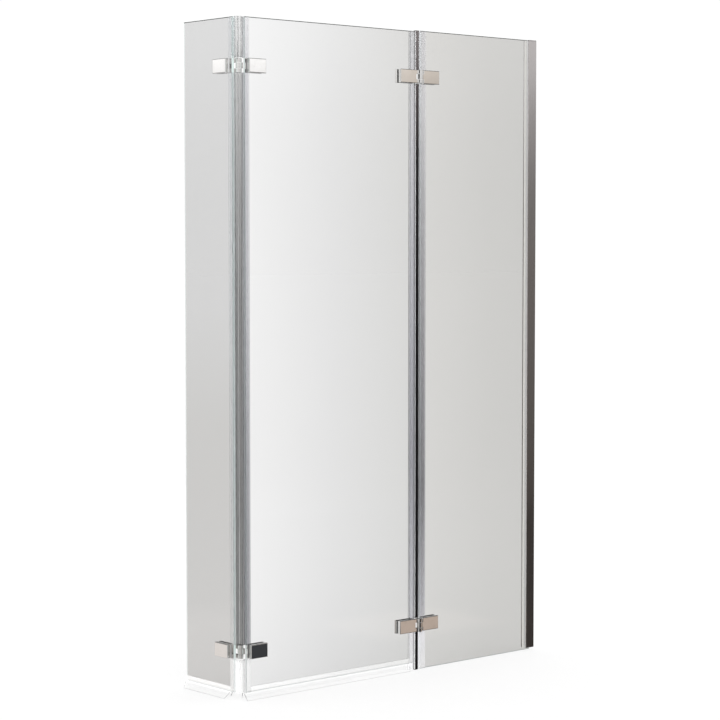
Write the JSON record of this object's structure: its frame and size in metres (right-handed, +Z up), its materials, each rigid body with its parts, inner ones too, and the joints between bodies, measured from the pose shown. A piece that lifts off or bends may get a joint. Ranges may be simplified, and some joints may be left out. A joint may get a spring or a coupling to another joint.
{
  "type": "folding bath screen",
  "caption": "Frameless folding bath screen in clear glass, with a wall channel, a panel that folds out on clamp hinges and a short return panel that folds in.",
  "frame": {"origin": "lower end of the wall channel's back face, on the centre plane of the fixed glass", "axes": "+X into the wall, +Y to the bath side, +Z up"},
  "size_m": [0.8658, 0.1965, 1.4],
  "materials": {
    "clear_glass": "polished, clear",
    "polished_aluminium": "polished, bright anodised",
    "polished_chrome": "polished chrome plate",
    "steel_screws": "turned stainless steel",
    "steel_pins": "ground stainless steel",
    "nylon_bushes": "natural nylon",
    "clamp_pads": "translucent grey rubber",
    "grey_rubber": "matte grey",
    "black_rubber": "satin black",
    "clear_seal": "clear soft vinyl"
  },
  "bodies": {
    "fixed_panel": {"wall_channel": "polished_aluminium", "glazing_profile": "polished_aluminium", "glazing_gaskets": "grey_rubber", "channel_cap": "polished_aluminium", "lock_screws": "steel_screws", "lock_screw_caps": "polished_chrome", "fixed_glass": "clear_glass", "fixed_seal_upper": "clear_seal", "fixed_seal_middle": "clear_seal", "fixed_seal_lower": "clear_seal", "seam_strips": "black_rubber", "fixed_leaf_upper": "polished_chrome", "fixed_leaf_lower": "polished_chrome", "fixed_cover_upper": "polished_chrome", "fixed_cover_lower": "polished_chrome", "fixed_clamp_pads": "clamp_pads", "fixed_clamp_screws": "steel_screws", "seam_bushes": "nylon_bushes"},
    "middle_panel": {"middle_glass": "clear_glass", "seam_seal_upper": "clear_seal", "seam_seal_middle": "clear_seal", "seam_seal_lower": "clear_seal", "corner_seal_upper": "clear_seal", "corner_seal_middle": "clear_seal", "corner_seal_lower": "clear_seal", "middle_bottom_seal": "clear_seal", "seam_leaf_upper": "polished_chrome", "seam_leaf_lower": "polished_chrome", "seam_cover_upper": "polished_chrome", "seam_cover_lower": "polished_chrome", "seam_pin_upper": "steel_pins", "seam_pin_lower": "steel_pins", "corner_leaf_upper": "polished_chrome", "corner_leaf_lower": "polished_chrome", "corner_cover_upper": "polished_chrome", "corner_cover_lower": "polished_chrome", "corner_bushes": "nylon_bushes", "middle_clamp_pads": "clamp_pads", "middle_clamp_screws": "steel_screws"},
    "return_panel": {"return_glass": "clear_glass", "return_seal_upper": "clear_seal", "return_seal_middle": "clear_seal", "return_seal_lower": "clear_seal", "return_bottom_seal": "clear_seal", "return_leaf_upper": "polished_chrome", "return_leaf_lower": "polished_chrome", "return_cover_upper": "polished_chrome", "return_cover_lower": "polished_chrome", "corner_pin_upper": "steel_pins", "corner_pin_lower": "steel_pins", "return_clamp_pads": "clamp_pads", "return_clamp_screws": "steel_screws"}
  },
  "joints": [
    {"name": "screen_fold", "type": "hinge", "parent": "fixed_panel", "child": "middle_panel", "pos_m": [-0.362, -0.0115, 0], "axis": [0, 0, 1], "range_deg": [0, 135]},
    {"name": "return_fold", "type": "hinge", "parent": "middle_panel", "child": "return_panel", "pos_m": [-0.8435, 0.0115, 0], "axis": [0, 0, -1], "range_deg": [0, 90]}
  ]
}
